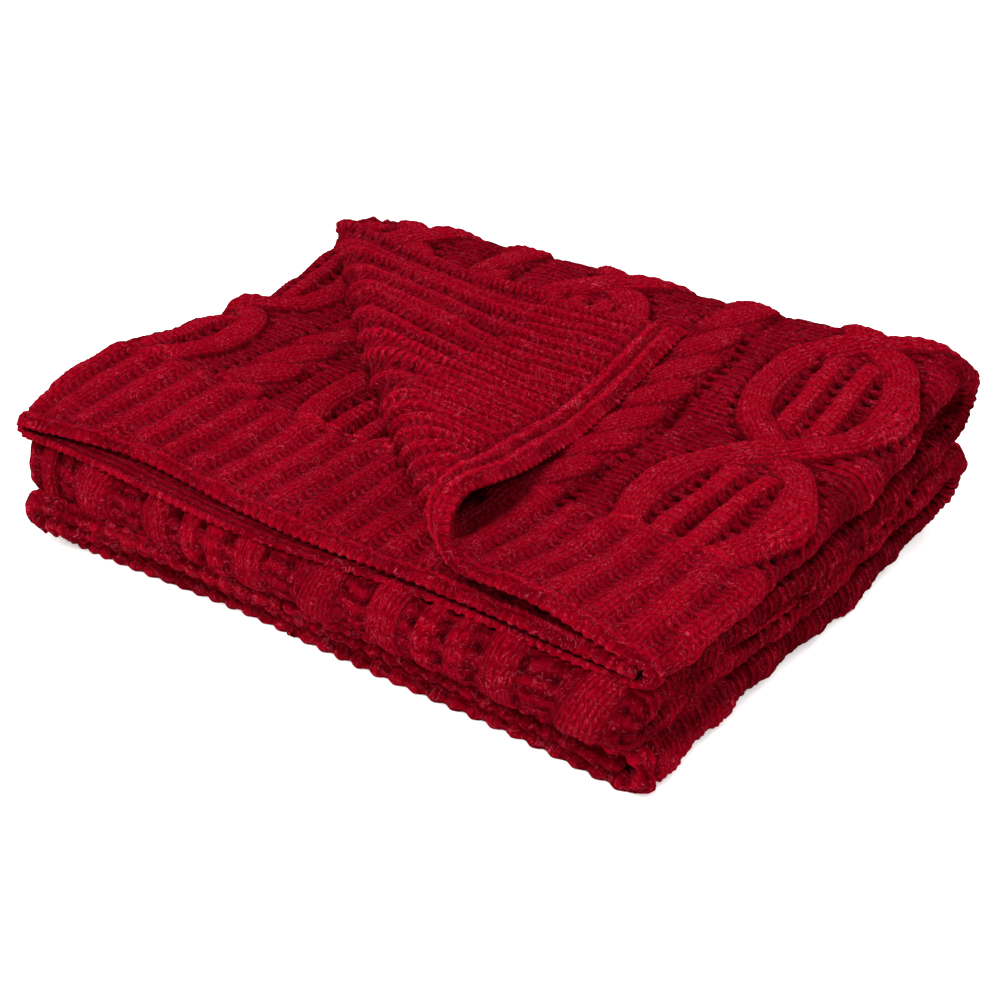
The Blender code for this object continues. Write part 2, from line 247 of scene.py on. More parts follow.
def settle(x, y, z):
    """The stack's unevenness: it leans, sags and bows as a whole, and its base stays flat."""
    left, back = smooth(-0.03, -0.21, x), smooth(-0.10, 0.12, y)
    scale = 1 + left * (eased(LEFT_SAG, y) - 1) + (1 - left) * back * (eased(BACK_SAG, x) - 1)
    scale += 0.010 * np.sin(21 * x + 9 * y + 0.5) + 0.008 * np.sin(33 * y - 14 * x)
    low = smooth(0.085, 0.0, z)
    corner = smooth(-0.100, -0.165, y) * smooth(-0.13, -0.21, x)
    swell = 0.03 * smooth(0.02, 0.13, y) * smooth(0.0, 0.03, z)
    right = x * (1 - 0.06 * low * smooth(-0.06, 0.10, y) + swell) - 0.005 * low * smooth(0.02, -0.12, y)
    x = np.where(x < 0, x * (1 - 0.025 * low) + 0.013 * corner, right)
    x = x + 0.0025 * np.sin(19 * y + 22 * z) + 0.007 * smooth(-0.11, -0.17, y) * smooth(-0.16, -0.21, x)
    x = x + 0.008 * np.exp(-(((z - 0.043) / 0.015) ** 2)) * smooth(-0.05, -0.16, y) * smooth(-0.13, -0.21, x)
    bow = 0.003 * (1 - (x / 0.21) ** 2) * smooth(0.055, 0.075, z) * smooth(0.0, -0.13, y)
    y = y + 0.0020 * np.sin(17 * x + 30 * z + 1.0) + bow
    return np.stack([x - STACK_MIDDLE[0], y - STACK_MIDDLE[1], z * scale + STACK_REST], axis=-1)


def ridge(distance, half_width):
    """A smooth ridge, 1 along its middle and 0 from its half width on."""
    return np.cos(np.clip(np.abs(distance) / half_width, 0, 1) * math.pi / 2) ** 2


def surface(u, s):
    """The sheet's middle surface, from distances across and along the sheet."""
    ahead = 0.013 * smooth(LOW_START + 0.05, LOW_END - 0.05, u) * smooth(WIDTH - 0.30, MIDDLE_START, u)
    ahead = ahead + 0.0015 * np.sin(31 * u)
    start, end = smooth(0.10, 0.0, s), smooth(LENGTH - 0.10, LENGTH, s)
    share, beyond = roll_place(u, s)
    top = (u < TOP_WIDE) & (s < TOP_LOOP_TO - 0.03)
    turned = top & (beyond > 0)
    out, up = roll_shape(share, np.maximum(beyond, 0))
    raised = np.where(top, 0.010 * ridge(u - 0.340, 0.075) * smooth(0.05, 0.0, s), 0.0)
    raised = np.where(turned, raised * smooth(0.03, 0.0, beyond) + up, raised)
    place_u = np.where(turned, u + ROLL_OUT[0] * (out - beyond), u)
    place_s = np.where(turned, s + ROLL_OUT[1] * (out - beyond), s) + ahead * (end - start)
    y, z, spacing = (np.interp(place_s, ALONG, PATH[:, k]) for k in range(3))
    ty, tz = np.interp(place_s, ALONG, TANGENT_Y), np.interp(place_s, ALONG, TANGENT_Z)
    size = np.hypot(ty, tz)
    past = np.where(place_s > LENGTH, place_s - LENGTH, np.minimum(place_s, 0.0))
    y, z = y + ty * past, z + tz * past
    x, offset = across(np.where(top, np.minimum(place_u, TOP_WIDE - 1e-9), place_u), spacing)
    x = x + 0.0025 * np.sin(14 * place_s + 0.4) + 0.0015 * np.sin(41 * place_s)
    return settle(x, y - (offset + raised) * tz / size, z + (offset + raised) * ty / size)


def near(value, start, pitch):
    """Signed distance from the nearest of the lines at start, start + pitch and so on."""
    return (value - start + pitch / 2) % pitch - pitch / 2


def uneven(u, s, size, seed):
    """Smooth hand-knit unevenness from -1 to 1, with bumps of about this size."""
    table = np.random.default_rng(seed).uniform(-1, 1, (int(1.5 / size) + 3, int(1.5 / size) + 3))
    a, b = np.maximum(u / size + 1, 0), np.maximum(s / size + 1, 0)
    i, j = a.astype(int), b.astype(int)
    f, g = a - i, b - j
    f, g = f * f * (3 - 2 * f), g * g * (3 - 2 * g)
    low = table[i, j] * (1 - f) + table[i + 1, j] * f
    high = table[i, j + 1] * (1 - f) + table[i + 1, j + 1] * f
    return low * (1 - g) + high * g


def leg_of(wale):
    """From 0 to 0.5: how far a place is from the middle of its wale, where the legs of a stitch meet."""
    return np.abs(wale - np.round(wale))


def stitch_height(leg, row, plain):
    """From 0 to 1: slanting legs of knit stitches where plain is 1, wavy purl rows where it is 0."""
    knit = np.sin(2 * math.pi * leg) * (0.675 + 0.325 * np.cos(2 * math.pi * (row - 1.3 * leg)))
    purl = 0.5 + 0.5 * np.cos(2 * math.pi * (row + 0.10 * np.cos(2 * math.pi * leg)))
    return plain * knit + (1 - plain) * purl


def small_holes(distance, s, wide=0.0019, seed=21):
    """A row of the small holes that open beside a cable, 0 to 1 deep, no two of them quite alike."""
    distance = distance + 0.0013 * uneven(distance * 0, s, 0.009, seed)
    along = near(s + 0.0012 * uneven(distance * 0 + 0.3, s, 0.02, seed), 0.0, 2 * ROW)
    deep = np.clip(0.8 + 0.5 * uneven(distance * 0 + 0.6, s, 0.0085, seed), 0.2, 1)
    return deep * np.exp(-((distance / wide) ** 2) - (along / 0.0023) ** 2)


def cord(distance, half_width, height):
    """The back of a cord of stitches: round at its sides and rather flat on top."""
    return height * np.clip(1 - np.abs(distance / half_width) ** 2.2, 0, 1) ** 0.6


def lay(cloth, height, leg, row, plain):
    """Lays one form over the cloth where it stands higher, with its own legs and rows of stitches."""
    higher = height > cloth[0]
    return [np.where(higher, new, old) for new, old in zip((height, leg, row, plain), cloth)]


def crossing_angle(s):
    """How far on the wide cables are, one half turn from crossing to crossing."""
    return math.pi * (s + CROSSING_DRIFT * smooth(DRIFT_FROM, DRIFT_TO, s) - FIRST_CROSSING) / CROSSING


def cable_strand(off, s, side):
    """One outer strand of a wide cable: its height, distance across it, skew of its rows, middle line."""
    angle = crossing_angle(s)
    middle = side * STRAND_REACH * np.sin(angle) * (1 + STRAND_QUICK * np.cos(angle) ** 2)
    slope = side * STRAND_REACH * math.pi / CROSSING * np.cos(angle)
    slope = slope * (1 + STRAND_QUICK * (3 * np.cos(angle) ** 2 - 2))
    stretch = np.sqrt(1 + slope**2)
    distance = (off - middle) / stretch
    crossing = np.exp(-((middle / CROSSING_HALF) ** 2))
    over = np.sign(slope) * crossing * STRAND_OVER * (np.abs(distance) < STRAND_HALF)
    height = cord(distance, STRAND_HALF, STRAND_HEIGHT) + over
    return height, distance, distance * slope / stretch, middle


def rope_lobes(at_rope, s):
    """The leaf-like lobes of the narrow rope: height, and the place across the lobe."""
    best = [np.full(np.shape(s), -1.0), at_rope]
    for before in (-1, 0, 1):
        centre = (np.round(s / ROPE_LOBE) + before) * ROPE_LOBE
        along = LOBE_SIN * at_rope + LOBE_COS * (s - centre)
        aside = LOBE_COS * at_rope - LOBE_SIN * (s - centre)
        full = np.clip(1 - (np.abs(along) / LOBE_LONG) ** 2.4 - (aside / LOBE_WIDE) ** 2, 0, 1)
        height = CABLE_HEIGHT * full**0.5 + 0.05 * along * (full > 0)
        best = [np.where(height > best[0], new, old) for new, old in zip((height, aside), best)]
    return best


def finish_ends(cloth, u, s, from_end, rows):
    """Puts the chained ends, one or more cords of stitches wide, and the selvedges on the cloth."""
    last = s > LENGTH / 2
    chain = smooth(END_CORD * rows + 0.0030, END_CORD * rows - 0.0030, from_end)
    sunk = np.where(last, 0.0014, 0.0015 * rows - 0.0015)
    cloth[0] = cloth[0] * (1 - (0.6 + 0.2 * rows) * chain) - sunk * chain
    pitch = np.where(last, FAT_STITCH, SMALL_STITCH)
    knob = np.where(last, 0.0015, 0.0004)
    full = np.where(last, 0.0038, 0.0017 * rows)
    for k in range(rows):
        distance = from_end - np.where(last, 0.0024, 0.0035) - END_CORD * k
        slant = (u + (0.9 - 1.8 * (k % 2)) * distance + 0.0015 * uneven(u, s, 0.02, 41)) / pitch
        high = cord(distance, END_CORD_HALF, 1.0) * full + knob * np.cos(2 * math.pi * slant)
        high = np.where(np.abs(distance) < END_CORD_HALF, high, -1)
        cloth = lay(cloth, high, cloth[1], cloth[2], 0.4)
    selvedge = ridge(np.minimum(u, WIDTH - u) - 0.002, 0.005)
    cloth[0] = cloth[0] * (1 - selvedge) + selvedge * (0.0016 + 0.0009 * np.cos(2 * math.pi * s / (2 * ROW)))
    cloth[0] = cloth[0] + 0.0004 * uneven(u, s, 0.006, 12) + 0.0007 * uneven(u, s, 0.018, 13)
    return cloth


def front_knit(u, s):
    """The sheet's face: height of its forms, and the leg, the row and the kind of its stitches."""
    from_end = np.minimum(s, LENGTH - s)
    u = u + 0.0019 * uneven(u, s, 0.03, 11) + 0.0008 * uneven(u, s, 0.011, 14)
    rows = s / ROW + 0.30 * uneven(u, s, 0.014, 16)
    wave = 0.5 + 0.5 * np.cos(2 * math.pi * u / RIB_PITCH)
    flat = leg_of(u / STITCH - 0.5)
    ribs = RIB_HEIGHT * wave**0.8 * (1 + 0.30 * uneven(u, s, 0.022, 18))
    rib = [ribs, flat, rows, 0.85 * smooth(0.05, 0.35, wave)]
    # The cabled field.
    field = [0.0002 + 0 * u, flat, rows, 0 * u]
    off = near(u, WIDE_AT, REPEAT)
    open_out = np.abs(np.sin(crossing_angle(s)))
    inner = smooth(0.40, 0.70, open_out)
    for side in (-1, 1):
        place = off - side * 0.0095
        field = lay(field, inner * cord(place, 0.0062, 0.0036), leg_of(place / 0.0055 + 0.5), rows, 0.6)
    pits = small_holes(off, s, 0.0019, 22) + small_holes(off - 0.0185, s, 0.0022, 23)
    pits = inner * (pits + small_holes(off + 0.0185, s, 0.0022, 24))
    for side in (-1, 1):
        strand, distance, skew, middle = cable_strand(off, s, side)
        strand = strand * (1 + 0.14 * uneven(u, s, 0.020, 19 + side) + 0.12 * uneven(u, s, 0.009, 33))
        field = lay(field, strand, leg_of(distance / 0.0050 + 0.5), rows + skew / ROW, 1.0)
        outside = side * np.sign(np.sin(crossing_angle(s))) * off > np.abs(middle)
        pits = pits + 0.8 * small_holes(np.abs(distance) - 0.0120, s, 0.0017, 25) * outside
    at_rope = near(u, ROPE_AT, REPEAT)
    field = lay(field, cord(at_rope, 0.0150, 0.0012), leg_of(at_rope / 0.0056 + 0.5), rows, 1.0)
    lobe, aside = rope_lobes(at_rope + 0.0012 * uneven(u, s, 0.012, 34), s + 0.004 * uneven(u, s, 0.05, 35))
    field = lay(field, lobe, leg_of(aside / 0.0048), rows + 0.7 * at_rope / ROW, 1.0)
    pits = pits + small_holes(at_rope - 0.0195, s, 0.0024, 26)
    pits = pits + 0.6 * small_holes(at_rope + 0.0190, s, 0.0018, 27)
    field[0] = field[0] - PIT_DEPTH * np.clip(pits, 0, 1)
    mix = smooth(BORDER - 0.006, BORDER + 0.008, from_end)
    cloth = [inside * mix + border * (1 - mix) for inside, border in zip(field, rib)]
    # Where the sheet turns hard round at the front of the stack, the weight above presses it flatter.
    cloth[0] = cloth[0] * (1 - 0.45 * ridge(s - (FRONT_FROM + FRONT_TO) / 2, 0.035))
    # At the right-hand folds the cable hangs over the edge in loops, with hollows between them.
    fold_middle = (TOP_WIDE + LOW_START) / 2
    loops = np.cos(2 * math.pi * (s / 0.046 + 0.5 * uneven(u, s, 0.04, 31)))
    loops = loops + 0.4 * np.cos(2 * math.pi * s / 0.0125)
    cloth[0] = cloth[0] + 0.0011 * ridge(u - fold_middle, 0.030) * loops
    return finish_ends(cloth, u, s, from_end, 1)


def back_knit(u, s):
    """The sheet's reverse, where knit and purl change places, as front_knit gives its face."""
    from_end = np.minimum(s, LENGTH - s)
    u = u + 0.0019 * uneven(u, s, 0.03, 11) + 0.0008 * uneven(u, s, 0.011, 14)
    rows = s / ROW + 0.30 * uneven(u, s, 0.014, 17)
    wave = 0.5 - 0.5 * np.cos(2 * math.pi * u / BACK_RIB_PITCH)
    flat = leg_of(u / STITCH)
    ribs = BACK_RIB_HEIGHT * wave**1.25 * (1 + 0.30 * uneven(u, s, 0.022, 18))
    rib = [ribs, flat, rows, 0.85 * smooth(0.10, 0.40, wave)]
    off, at_rope = near(u, WIDE_AT, REPEAT), near(u, ROPE_AT, REPEAT)
    field = [0.0002 + 0 * u, flat, rows, 0 * u]
    # Columns: place beside the middle of the wide cable, height.
    wales = (
        (-0.0205, 0.0036), (-0.0300, 0.0030), (0.0205, 0.0036), (0.0300, 0.0030),
        (0.0, 0.0032), (0.0520, 0.0036), (-0.0520, 0.0036),
    )
    for place, height in wales:
        field = lay(field, cord(off - place, 0.0042, height), leg_of((off - place) / STITCH), rows, 0.8)
    for place in (-0.0085, 0.0085):
        beside = at_rope - place
        field = lay(field, cord(beside, 0.0050, 0.0036), leg_of(beside / STITCH), rows, 0.0)
    pits = small_holes(at_rope - 0.0188, s, 0.0024, 26) + 0.7 * small_holes(at_rope + 0.0188, s, 0.0020, 27)
    for place, seed in ((-0.0125, 22), (0.0125, 23), (0.043, 24), (-0.043, 25)):
        pits = pits + small_holes(off - place, s, 0.0020, seed)
    field[0] = field[0] - BACK_PIT_DEPTH * np.clip(pits, 0, 1)
    mix = smooth(BORDER - 0.006, BORDER + 0.008, from_end)
    cloth = [inside * mix + border * (1 - mix) for inside, border in zip(field, rib)]
    return finish_ends(cloth, u, s, from_end, 2)


CELL = 0.010
EDGE_ROUND = 0.0030
AT_EDGE = 1e-5
FINE_FACE = 3e-6  # square metres: of the slab's flat faces, only those cut finer are smaller
FOLD_STEP = 0.0004
LEAST_LEFT = 0.0003
BACK_SHARE = 0.85
RIM_SHADE = 0.0026
SEAM_SHADE = -0.0034
STITCH_SHADE = 0.0030


def nowhere(u, s):
    """For a side of a piece that shows at no place."""
    return False


def everywhere(u, s):
    """For a side of a piece that shows all over, or a piece with nothing left out."""
    return True


def flat_slab(name, stretch_u, stretch_s, kept, face, reverse, cuts):
    """Part of the sheet as a flat slab in cells about 10 mm wide, its open faces cut finer, and its area.

    In the slab x is the distance across the sheet, y along it, and z runs from 0 to 1 through it.
    """
    wide, long = stretch_u[1] - stretch_u[0], stretch_s[1] - stretch_s[0]
    work = bmesh.new()
    cells_u, cells_s = max(1, round(wide / CELL)), max(1, round(long / CELL))
    bmesh.ops.create_grid(work, x_segments=cells_u, y_segments=cells_s, size=0.5)
    bmesh.ops.scale(work, vec=(wide, long, 1), verts=work.verts)
    bmesh.ops.translate(work, vec=(stretch_u[0] + wide / 2, stretch_s[0] + long / 2, 0), verts=work.verts)
    left_out = [f for f in work.faces if not kept(*f.calc_center_median().xy)]
    bmesh.ops.delete(work, geom=left_out, context="FACES")
    flat_area = sum(f.calc_area() for f in work.faces)
    made = bmesh.ops.extrude_face_region(work, geom=work.faces[:], use_keep_orig=True)
    raised = [v for v in made["geom"] if isinstance(v, bmesh.types.BMVert)]
    bmesh.ops.translate(work, vec=(0, 0, 1), verts=raised)
    bmesh.ops.recalc_face_normals(work, faces=work.faces)
    work.normal_update()
    fine = set()
    for f in work.faces:
        u, s = f.calc_center_median().xy
        if f.normal.z > 0.5:
            shown = face(u, s)
        elif f.normal.z < -0.5:
            shown = reverse(u, s)
        else:
            rim = min(u, WIDTH - u, s, LENGTH - s) < AT_EDGE
            shown = rim and (face(u, s) or reverse(u, s))
        if shown:
            fine.update(f.edges)
    bmesh.ops.subdivide_edges(work, edges=list(fine), cuts=cuts, use_grid_fill=True)
    mesh = bpy.data.meshes.new(name)
    work.to_mesh(mesh)
    work.free()
    return mesh, flat_area


def fold_slab(mesh):
    """Folds a flat slab into its place in the stack, raises its knit and marks it for the yarn."""
    flat = np.empty(len(mesh.vertices) * 3, np.float32)
    mesh.vertices.foreach_get("co", flat)
    u, s, t = flat.reshape(-1, 3).astype(float).T
    # The sheet's real edges are rounded and bumpy: small stitches at the cast-on end, fat ones elsewhere.
    small = 1 + 0.25 * np.cos(2 * math.pi * u / SMALL_STITCH)
    fat = np.where(s < AT_EDGE, small, 1 + 0.4 * np.cos(2 * math.pi * u / FAT_STITCH))
    round_out = EDGE_ROUND * np.sin(math.pi * t) * fat
    u_out = u + np.where(u > WIDTH - AT_EDGE, round_out, 0) - np.where(u < AT_EDGE, round_out, 0)
    s_out = s + np.where(s > LENGTH - AT_EDGE, round_out, 0) - np.where(s < AT_EDGE, round_out, 0)
    du = surface(u_out + FOLD_STEP, s_out) - surface(u_out - FOLD_STEP, s_out)
    ds = surface(u_out, s_out + FOLD_STEP) - surface(u_out, s_out - FOLD_STEP)
    normal = np.cross(du, ds)
    normal /= np.linalg.norm(normal, axis=1)[:, None]
    front, back = front_knit(u, s), back_knit(u, s)
    high, leg, row, plain = (np.where(t > 0.5, *both) for both in zip(front, back))
    # The faces pressed between the layers stay flat: relief is for those cut finer and for the real edges.
    on_edge = (t > 0.01) & (t < 0.99)
    area, corners = np.empty(len(mesh.polygons), np.float32), np.empty(len(mesh.polygons), np.int32)
    mesh.polygons.foreach_get("area", area)
    mesh.polygons.foreach_get("loop_total", corners)
    corner_vertex = np.empty(len(mesh.loops), np.int32)
    mesh.loops.foreach_get("vertex_index", corner_vertex)
    seen = on_edge.copy()
    seen[corner_vertex[np.repeat(area, corners) < FINE_FACE]] = True
    high = np.where(seen, high, 0.0)
    shown_high = high + seen * YARN_HEIGHT * stitch_height(leg, row, plain)
    # No pit goes right through the sheet.
    shown_high = np.maximum(shown_high, LEAST_LEFT - SHEET)
    offset = np.where(t > 0.5, shown_high, -BACK_SHARE * shown_high) + (2 * t - 1) * SHEET / 2
    offset = np.where(on_edge, (2 * t - 1) * (SHEET / 2 + high), offset)
    # On the real edges the colour gets painted highlight along their middle and on the bumps of the
    # stitches, and painted shade at the seams between the cast-off cords.
    seam = np.where(s > LENGTH - AT_EDGE, SEAM_SHADE, 0.0)
    rim_light_and_shade = seam + (RIM_SHADE - seam) * np.sin(math.pi * t) + STITCH_SHADE * (fat - 1)
    high = np.where(on_edge, rim_light_and_shade, high)
    place = surface(u_out, s_out) + normal * offset[:, None]
    place[:, 2] = np.maximum(place[:, 2], 0.0)
    mesh.vertices.foreach_set("co", place.astype(np.float32).ravel())
    for label, values in (("rise", high), ("plain", plain)):
        layer = mesh.attributes.new(label, "FLOAT", "POINT")
        layer.data.foreach_set("value", values.astype(np.float32))
    stitches = mesh.uv_layers.new(name="stitches")
    uv = np.stack([leg, row], axis=-1)[corner_vertex]
    stitches.data.foreach_set("uv", uv.astype(np.float32).ravel())
    mesh.shade_smooth()
    mesh.update()


def knit_piece(name, stretch_u, stretch_s, kept=everywhere, face=nowhere, reverse=nowhere, cuts=9):
    """One stretch of the sheet, folded, in its yarn, and tied to the frame."""
    mesh, flat_area = flat_slab(name, stretch_u, stretch_s, kept, face, reverse, cuts)
    fold_slab(mesh)
    piece = bpy.data.objects.new(name, mesh)
    bpy.context.scene.collection.objects.link(piece)
    mesh.materials.append(chenille)
    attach(piece, "root")
    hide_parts("throw")


def linear(hex_colour):
    """An sRGB hex colour as the linear RGBA that a shader takes."""
    parts = [int(hex_colour[k:k + 2], 16) / 255 for k in (1, 3, 5)]
    return (*(c / 12.92 if c <= 0.04045 else ((c + 0.055) / 1.055) ** 2.4 for c in parts), 1.0)


# Chenille yarn: short, dense pile all round a core. It is quite matt and takes its depth from shade.
# Its colour has painted shade, nearly black red down between the stitches, and painted pink
# highlights on the pile's hairs along the edges of its loops.
PILE_DEEP_SHADE = "#240004"
PILE_LOW_SHADE = "#540009"
PILE = "#760110"
PILE_LIT_TIP = "#860318"
PILE_GLINT = "#BE4256"
SHEEN = "#FF4A6A"
# How many of each there are to a metre: fuzz 1.1 mm apart, wobbles of the yarn 4 mm, patches of painted
# pink highlight 11 mm, and strokes that lie otherwise every 14 mm.
FUZZ_PER_METRE = 900.0
WOBBLES_PER_METRE = 260.0
PATCHES_PER_METRE = 90.0
SHIFTS_PER_METRE = 70.0
# Real pile is finer. With 3.2 strokes to a row of stitches, 1.3 mm each, it is coarse enough to show.
STROKES_PER_ROW = 3.2
STROKES_PER_WALE = 0.9
HAIRS_PER_STROKE = 2.1
BUMP_DEPTH = 0.0010
LEG_SLANT = -1.3
chenille = bpy.data.materials.new("crimson chenille pile")
chenille.use_nodes = True


def add_node(kind, settings, inputs):
    """Adds a node to the yarn's material. Each input is a value, or the output that it is linked to."""
    node = chenille.node_tree.nodes.new(kind)
    for key, value in settings.items():
        setattr(node, key, value)
    for key, value in inputs.items():
        if isinstance(value, bpy.types.NodeSocket):
            chenille.node_tree.links.new(value, node.inputs[key])
        else:
            node.inputs[key].default_value = value
    return node.outputs


rise = add_node("ShaderNodeAttribute", {"attribute_name": "rise"}, {})["Fac"]
plain = add_node("ShaderNodeAttribute", {"attribute_name": "plain"}, {})["Fac"]
stitch_place = add_node("ShaderNodeUVMap", {"uv_map": "stitches"}, {})["UV"]
cell = add_node("ShaderNodeSeparateXYZ", {}, {0: stitch_place})
where = add_node("ShaderNodeTexCoord", {}, {})["Object"]
wobble = add_node(
    "ShaderNodeTexNoise", {}, {"Vector": where, "Scale": WOBBLES_PER_METRE, "Detail": 2.0})["Fac"]
fuzz = add_node(
    "ShaderNodeTexNoise", {},
    {"Vector": where, "Scale": FUZZ_PER_METRE, "Detail": 3.0, "Roughness": 0.65})["Fac"]
patchy = add_node(
    "ShaderNodeTexNoise", {}, {"Vector": where, "Scale": PATCHES_PER_METRE, "Detail": 2.0})["Fac"]
shift = add_node(
    "ShaderNodeTexNoise", {}, {"Vector": where, "Scale": SHIFTS_PER_METRE, "Detail": 1.0})["Fac"]
# The legs of the knit stitches slant up from the middle of each wale, and the purl rows run level.
row_at = add_node("ShaderNodeMath", {"operation": "MULTIPLY_ADD"}, {0: wobble, 1: 0.8, 2: cell["Y"]})[0]
slope = add_node("ShaderNodeMath", {"operation": "MULTIPLY"}, {0: plain, 1: LEG_SLANT})[0]
lean = add_node("ShaderNodeMath", {"operation": "MULTIPLY_ADD"}, {0: cell["X"], 1: slope, 2: row_at})[0]
row_turn = add_node("ShaderNodeMath", {"operation": "MULTIPLY"}, {0: lean, 1: 2 * math.pi})[0]
row_wave = add_node("ShaderNodeMath", {"operation": "COSINE"}, {0: row_turn})[0]
row_high = add_node("ShaderNodeMath", {"operation": "MULTIPLY_ADD"}, {0: plain, 1: -0.20, 2: 0.50})[0]
row_middle = add_node("ShaderNodeMath", {"operation": "SUBTRACT"}, {0: 1.0, 1: row_high})[0]
row_rise = add_node(
    "ShaderNodeMath", {"operation": "MULTIPLY_ADD"}, {0: row_wave, 1: row_high, 2: row_middle})[0]
leg_turn = add_node("ShaderNodeMath", {"operation": "MULTIPLY"}, {0: cell["X"], 1: 2 * math.pi})[0]
leg_wave = add_node("ShaderNodeMath", {"operation": "SINE"}, {0: leg_turn})[0]
leg_rise = add_node("ShaderNodeMix", {}, {"Factor": plain, "A": 1.0, "B": leg_wave})["Result"]
yarn = add_node("ShaderNodeMath", {"operation": "MULTIPLY"}, {0: leg_rise, 1: row_rise})[0]
# The pile's strokes lie along the yarn.
side_on = add_node("ShaderNodeMath", {"operation": "MULTIPLY"}, {0: lean, 1: STROKES_PER_ROW})[0]
end_on = add_node("ShaderNodeMath", {"operation": "MULTIPLY"}, {0: cell["X"], 1: STROKES_PER_WALE})[0]
depth_in = add_node("ShaderNodeMath", {"operation": "MULTIPLY"}, {0: shift, 1: 24.0})[0]
yarn_place = add_node("ShaderNodeCombineXYZ", {}, {"X": side_on, "Y": end_on, "Z": depth_in})[0]
strokes = add_node(
    "ShaderNodeTexNoise", {}, {"Vector": yarn_place, "Scale": 1.0, "Detail": 2.0, "Roughness": 0.6})["Fac"]
hairs = add_node(
    "ShaderNodeTexNoise", {}, {"Vector": yarn_place, "Scale": HAIRS_PER_STROKE, "Detail": 1.0})["Fac"]
rough_yarn = add_node("ShaderNodeMath", {"operation": "MULTIPLY_ADD"}, {0: strokes, 1: 0.7, 2: yarn})[0]
pile_height = add_node("ShaderNodeMath", {"operation": "MULTIPLY_ADD"}, {0: fuzz, 1: 0.35, 2: rough_yarn})[0]
# Painted shade and painted highlight: the colour runs from nearly black red down between the yarns and their
# strokes to a lighter red on their tops.
share = add_node(
    "ShaderNodeMapRange", {}, {"Value": pile_height, "From Min": 0.25, "From Max": 1.65})["Result"]
yarn_shade_colours = add_node("ShaderNodeValToRGB", {}, {"Fac": share})
yarn_shade_ramp = chenille.node_tree.nodes["Color Ramp"].color_ramp
yarn_shade_ramp.elements[0].color = linear(PILE_DEEP_SHADE)
yarn_shade_ramp.elements[1].color = linear(PILE_LIT_TIP)
for place, colour in ((0.25, PILE_LOW_SHADE), (0.62, PILE)):
    yarn_shade_ramp.elements.new(place).color = linear(colour)
# Between the forms of the knit the yarn lies in shade.
open_to_light = add_node(
    "ShaderNodeMapRange", {},
    {"Value": rise, "From Min": -0.0040, "From Max": 0.0032, "To Min": 0.03, "To Max": 1.09})["Result"]
shaded = add_node(
    "ShaderNodeMix", {"data_type": "RGBA", "blend_type": "MULTIPLY"},
    {0: 1.0, 6: yarn_shade_colours["Color"], 7: open_to_light})[2]
# Painted highlight: pink glints on the pile's hairs, in patches, and only where the painted shade leaves the
# yarn open to light.
hair_share = add_node(
    "ShaderNodeMapRange", {}, {"Value": hairs, "From Min": 0.58, "From Max": 0.70})["Result"]
glint_patches = add_node(
    "ShaderNodeMapRange", {},
    {"Value": patchy, "From Min": 0.36, "From Max": 0.70, "To Min": 0.14, "To Max": 0.52})["Result"]
glint_full = add_node("ShaderNodeMath", {"operation": "MULTIPLY"}, {0: hair_share, 1: glint_patches})[0]
painted_glint = add_node("ShaderNodeMath", {"operation": "MULTIPLY"}, {0: glint_full, 1: open_to_light})[0]
finished = add_node("ShaderNodeMix", {"data_type": "RGBA"}, {0: painted_glint, 6: shaded, 7: linear(PILE_GLINT)})[2]
bumpy = add_node(
    "ShaderNodeBump", {}, {"Strength": 1.0, "Distance": BUMP_DEPTH, "Height": pile_height})["Normal"]
pile = chenille.node_tree.nodes["Principled BSDF"]
pile.inputs["Roughness"].default_value = 1.0
pile.inputs["Specular IOR Level"].default_value = 0.0
pile.inputs["Sheen Weight"].default_value = 0.03
pile.inputs["Sheen Roughness"].default_value = 0.4
pile.inputs["Sheen Tint"].default_value = linear(SHEEN)
chenille.node_tree.links.new(finished, pile.inputs["Base Color"])
chenille.node_tree.links.new(bumpy, pile.inputs["Normal"])

# The floor that the throw rests on, plain and white.
FLOOR_WHITE = "#F2F2F2"
FLOOR_GLOW = 0.42
FLOOR_LOW = -0.0004
floor_mesh = bpy.data.meshes.new("floor")
floor_work = bmesh.new()
bmesh.ops.create_grid(floor_work, x_segments=12, y_segments=12, size=3.0)
bmesh.ops.translate(floor_work, vec=(0, 0, FLOOR_LOW), verts=floor_work.verts)
floor_work.to_mesh(floor_mesh)
floor_work.free()
floor = bpy.data.objects.new("floor", floor_mesh)
bpy.context.scene.collection.objects.link(floor)
paper = bpy.data.materials.new("plain white studio floor")
paper.use_nodes = True
matt = paper.node_tree.nodes["Principled BSDF"]
matt.inputs["Base Color"].default_value = linear(FLOOR_WHITE)
matt.inputs["Roughness"].default_value = 0.9
# It glows a little, as the photo shows hardly any shadow on it.
matt.inputs["Emission Color"].default_value = linear("#FFFFFF")
matt.inputs["Emission Strength"].default_value = FLOOR_GLOW
floor_mesh.materials.append(paper)


CORNER_WIDE = 0.35
CORNER_LONG = 0.31


def in_corner(u, s):
    """The corner piece starts 12 mm before the roll's line."""
    return roll_place(u, s)[1] > -0.012


def roll_mouth(u, s):
    """The roll's open end at the front, where its inside shows."""
    return s < 0.045 and roll_place(u, s)[1] < 0.075


knit_piece(
    "throw_turned_corner", (0.0, CORNER_WIDE), (0.0, CORNER_LONG),
    kept=in_corner, face=roll_mouth, reverse=everywhere)

# The rest of the top layer, with its right-hand fold and the outside of the upper back loop. It is
# the sheet's face: ribs at its end, then a rope and wide cables with purl channels between them.
RIGHT_CUT = 0.44
FIRST_CUT = 0.34


def beside_corner(u, s):
    """All of the layer but for the corner piece."""
    return not (u < CORNER_WIDE and s < CORNER_LONG and in_corner(u, s))


